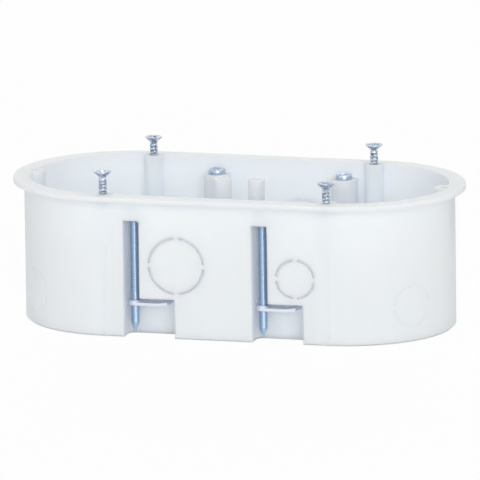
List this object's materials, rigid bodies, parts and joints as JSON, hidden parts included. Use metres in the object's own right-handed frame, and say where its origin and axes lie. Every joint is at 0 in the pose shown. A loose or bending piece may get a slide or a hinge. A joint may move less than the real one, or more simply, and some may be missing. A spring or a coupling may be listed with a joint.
{
  "type": "drywall back box",
  "caption": "Oblong flush-mounting box with a rim flange, scored knock-outs, device screws in pillars and swing-out claws on long screws that clamp it in a plasterboard cut-out.",
  "frame": {"origin": "centre of the floor's underside", "axes": "+X along the box through both gangs, +Z out of the open mouth, -Y towards the front long wall"},
  "size_m": [0.1426, 0.0716, 0.0515],
  "materials": {
    "moulded_plastic": "white injection-moulded polypropylene, satin",
    "zinc_plated_screw": "bright zinc plate with a blue passivation",
    "stamped_steel": "stamped sheet, zinc plated"
  },
  "bodies": {
    "box": {"box_body": "moulded_plastic"},
    "device_screw_front_left": {"device_screw_front_left": "zinc_plated_screw"},
    "device_screw_front_right": {"device_screw_front_right": "zinc_plated_screw"},
    "device_screw_rear_left": {"device_screw_rear_left": "zinc_plated_screw"},
    "device_screw_rear_right": {"device_screw_rear_right": "zinc_plated_screw"},
    "claw_screw_front_left": {"claw_screw_front_left": "zinc_plated_screw"},
    "claw_screw_front_right": {"claw_screw_front_right": "zinc_plated_screw"},
    "claw_screw_rear_left": {"claw_screw_rear_left": "zinc_plated_screw"},
    "claw_screw_rear_right": {"claw_screw_rear_right": "zinc_plated_screw"},
    "claw_front_left": {"claw_front_left": "stamped_steel"},
    "claw_front_right": {"claw_front_right": "stamped_steel"},
    "claw_rear_left": {"claw_rear_left": "stamped_steel"},
    "claw_rear_right": {"claw_rear_right": "stamped_steel"}
  },
  "joints": [
    {"name": "device_screw_front_left_turn", "type": "hinge", "parent": "box", "child": "device_screw_front_left", "pos_m": [-0.0355, -0.03, 0.0445], "axis": [0, 0, -1], "continuous": true},
    {"name": "device_screw_front_right_turn", "type": "hinge", "parent": "box", "child": "device_screw_front_right", "pos_m": [0.0355, -0.03, 0.0445], "axis": [0, 0, -1], "continuous": true},
    {"name": "device_screw_rear_left_turn", "type": "hinge", "parent": "box", "child": "device_screw_rear_left", "pos_m": [-0.0355, 0.03, 0.0445], "axis": [0, 0, -1], "continuous": true},
    {"name": "device_screw_rear_right_turn", "type": "hinge", "parent": "box", "child": "device_screw_rear_right", "pos_m": [0.0355, 0.03, 0.0445], "axis": [0, 0, -1], "continuous": true},
    {"name": "claw_screw_front_left_turn", "type": "hinge", "parent": "box", "child": "claw_screw_front_left", "pos_m": [-0.02625, -0.0277, 0.0398], "axis": [0, 0, -1], "continuous": true},
    {"name": "claw_screw_front_right_turn", "type": "hinge", "parent": "box", "child": "claw_screw_front_right", "pos_m": [0.0146, -0.0277, 0.0398], "axis": [0, 0, -1], "continuous": true},
    {"name": "claw_screw_rear_left_turn", "type": "hinge", "parent": "box", "child": "claw_screw_rear_left", "pos_m": [-0.0146, 0.0277, 0.0398], "axis": [0, 0, -1], "continuous": true},
    {"name": "claw_screw_rear_right_turn", "type": "hinge", "parent": "box", "child": "claw_screw_rear_right", "pos_m": [0.02625, 0.0277, 0.0398], "axis": [0, 0, -1], "continuous": true},
    {"name": "claw_front_left_swing", "type": "hinge", "parent": "box", "child": "claw_front_left", "pos_m": [-0.02625, -0.0277, 0.0095], "axis": [0, 0, -1], "range_deg": [0, 90]},
    {"name": "claw_front_right_swing", "type": "hinge", "parent": "box", "child": "claw_front_right", "pos_m": [0.0146, -0.0277, 0.0095], "axis": [0, 0, -1], "range_deg": [0, 90]},
    {"name": "claw_rear_left_swing", "type": "hinge", "parent": "box", "child": "claw_rear_left", "pos_m": [-0.0146, 0.0277, 0.0095], "axis": [0, 0, -1], "range_deg": [0, 90]},
    {"name": "claw_rear_right_swing", "type": "hinge", "parent": "box", "child": "claw_rear_right", "pos_m": [0.02625, 0.0277, 0.0095], "axis": [0, 0, -1], "range_deg": [0, 90]}
  ]
}
